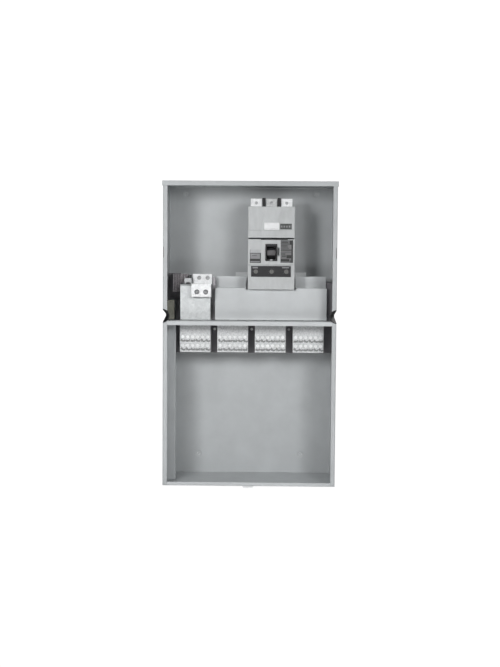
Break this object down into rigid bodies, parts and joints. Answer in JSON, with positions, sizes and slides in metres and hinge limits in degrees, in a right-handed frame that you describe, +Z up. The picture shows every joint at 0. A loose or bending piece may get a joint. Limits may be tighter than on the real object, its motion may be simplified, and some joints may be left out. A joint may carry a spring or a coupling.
{
  "type": "subpanel enclosure",
  "caption": "Wall-mounted sheet-steel subpanel enclosure, covers off, with a main breaker, bus shroud, neutral riser, tap lug blocks and an empty lower wiring space.",
  "frame": {"origin": "centre of the flat back face, on the wall", "axes": "+Z up, +Y into the wall, open front towards -Y, +X to the right of a person facing the open front"},
  "size_m": [0.5124, 0.2054, 0.8996],
  "materials": {
    "enclosure_paint": "light grey baked enamel, satin",
    "pocket_black": "moulded, matte",
    "breaker_case": "moulded thermoset, fine texture",
    "breaker_black": "moulded thermoset, satin",
    "insulator_black": "moulded insulator, matte",
    "insulator_grey": "moulded glass-filled polyester, matte",
    "lug_aluminium": "tin-plated extrusion, satin",
    "bus_metal": "tin-plated bar, satin and mottled",
    "zinc_steel": "zinc plated",
    "dark_steel": "black oxide",
    "olive_chromate": "chromate conversion coat, satin",
    "label_white": "printed foil",
    "label_dark": "printed foil and moulded plastic",
    "adjuster_grey": "moulded, satin"
  },
  "bodies": {
    "enclosure": {"back_panel": "enclosure_paint", "blank_nameplate": "label_white", "board_screw_1": "zinc_steel", "board_screw_2": "zinc_steel", "board_screw_3": "zinc_steel", "board_standoff_1": "insulator_grey", "board_standoff_2": "insulator_grey", "board_standoff_3": "insulator_grey", "board_standoff_4": "insulator_grey", "bonding_block": "zinc_steel", "bonding_bolt_lower": "dark_steel", "bonding_bolt_upper": "dark_steel", "bottom_end_wall": "enclosure_paint", "breaker_base": "breaker_black", "breaker_channel": "enclosure_paint", "breaker_mounting_plate": "enclosure_paint", "bus_shroud": "enclosure_paint", "cross_rail": "enclosure_paint", "grounding_strap": "olive_chromate", "handle_escutcheon": "breaker_black", "insulator_board": "insulator_black", "left_edge_pocket": "pocket_black", "left_insulator_board": "insulator_black", "left_label": "label_dark", "left_side_wall": "enclosure_paint", "left_wiring_barrier": "enclosure_paint", "line_lug_a": "lug_aluminium", "line_lug_b": "lug_aluminium", "line_lug_c": "lug_aluminium", "line_terminal_cover": "breaker_case", "load_end_cover": "breaker_case", "load_strap_a": "bus_metal", "load_strap_b": "bus_metal", "load_strap_c": "bus_metal", "lug_block_neutral": "lug_aluminium", "lug_block_phase_a": "lug_aluminium", "lug_block_phase_b": "lug_aluminium", "lug_block_phase_c": "lug_aluminium", "middle_cover": "breaker_case", "neutral_lug_front": "lug_aluminium", "neutral_lug_rear": "lug_aluminium", "neutral_riser": "bus_metal", "phase_barrier_left": "breaker_black", "phase_barrier_right": "breaker_black", "ribbed_standoff": "insulator_grey", "right_edge_pocket": "pocket_black", "right_insulating_block": "insulator_black", "right_label": "label_dark", "right_side_wall": "enclosure_paint", "riser_insulating_strip": "insulator_black", "seal_tab": "zinc_steel", "small_rating_label": "label_dark", "top_drip_cap": "enclosure_paint", "trip_adjuster_plate": "breaker_black"},
    "toggle": {"toggle_handle": "breaker_black"},
    "trip_button": {"push_to_trip_button": "label_dark"},
    "adjuster_left": {"trip_adjuster_left": "adjuster_grey"},
    "adjuster_middle": {"trip_adjuster_middle": "adjuster_grey"},
    "adjuster_right": {"trip_adjuster_right": "adjuster_grey"}
  },
  "joints": [
    {"name": "handle_throw", "type": "hinge", "parent": "enclosure", "child": "toggle", "pos_m": [0.0625, -0.118, 0.241], "axis": [-1, 0, 0], "range_deg": [-18, 18]},
    {"name": "trip_push", "type": "slide", "parent": "enclosure", "child": "trip_button", "axis": [0, 1, 0], "range_m": [0, 0.0035], "stiffness_N_per_m": 300},
    {"name": "adjuster_left_turn", "type": "hinge", "parent": "enclosure", "child": "adjuster_left", "pos_m": [0.017, -0.1447, 0.1855], "axis": [0, 1, 0], "range_deg": [-120, 120]},
    {"name": "adjuster_middle_turn", "type": "hinge", "parent": "enclosure", "child": "adjuster_middle", "pos_m": [0.064, -0.1447, 0.1855], "axis": [0, 1, 0], "range_deg": [-120, 120]},
    {"name": "adjuster_right_turn", "type": "hinge", "parent": "enclosure", "child": "adjuster_right", "pos_m": [0.1075, -0.1447, 0.1855], "axis": [0, 1, 0], "range_deg": [-120, 120]}
  ]
}
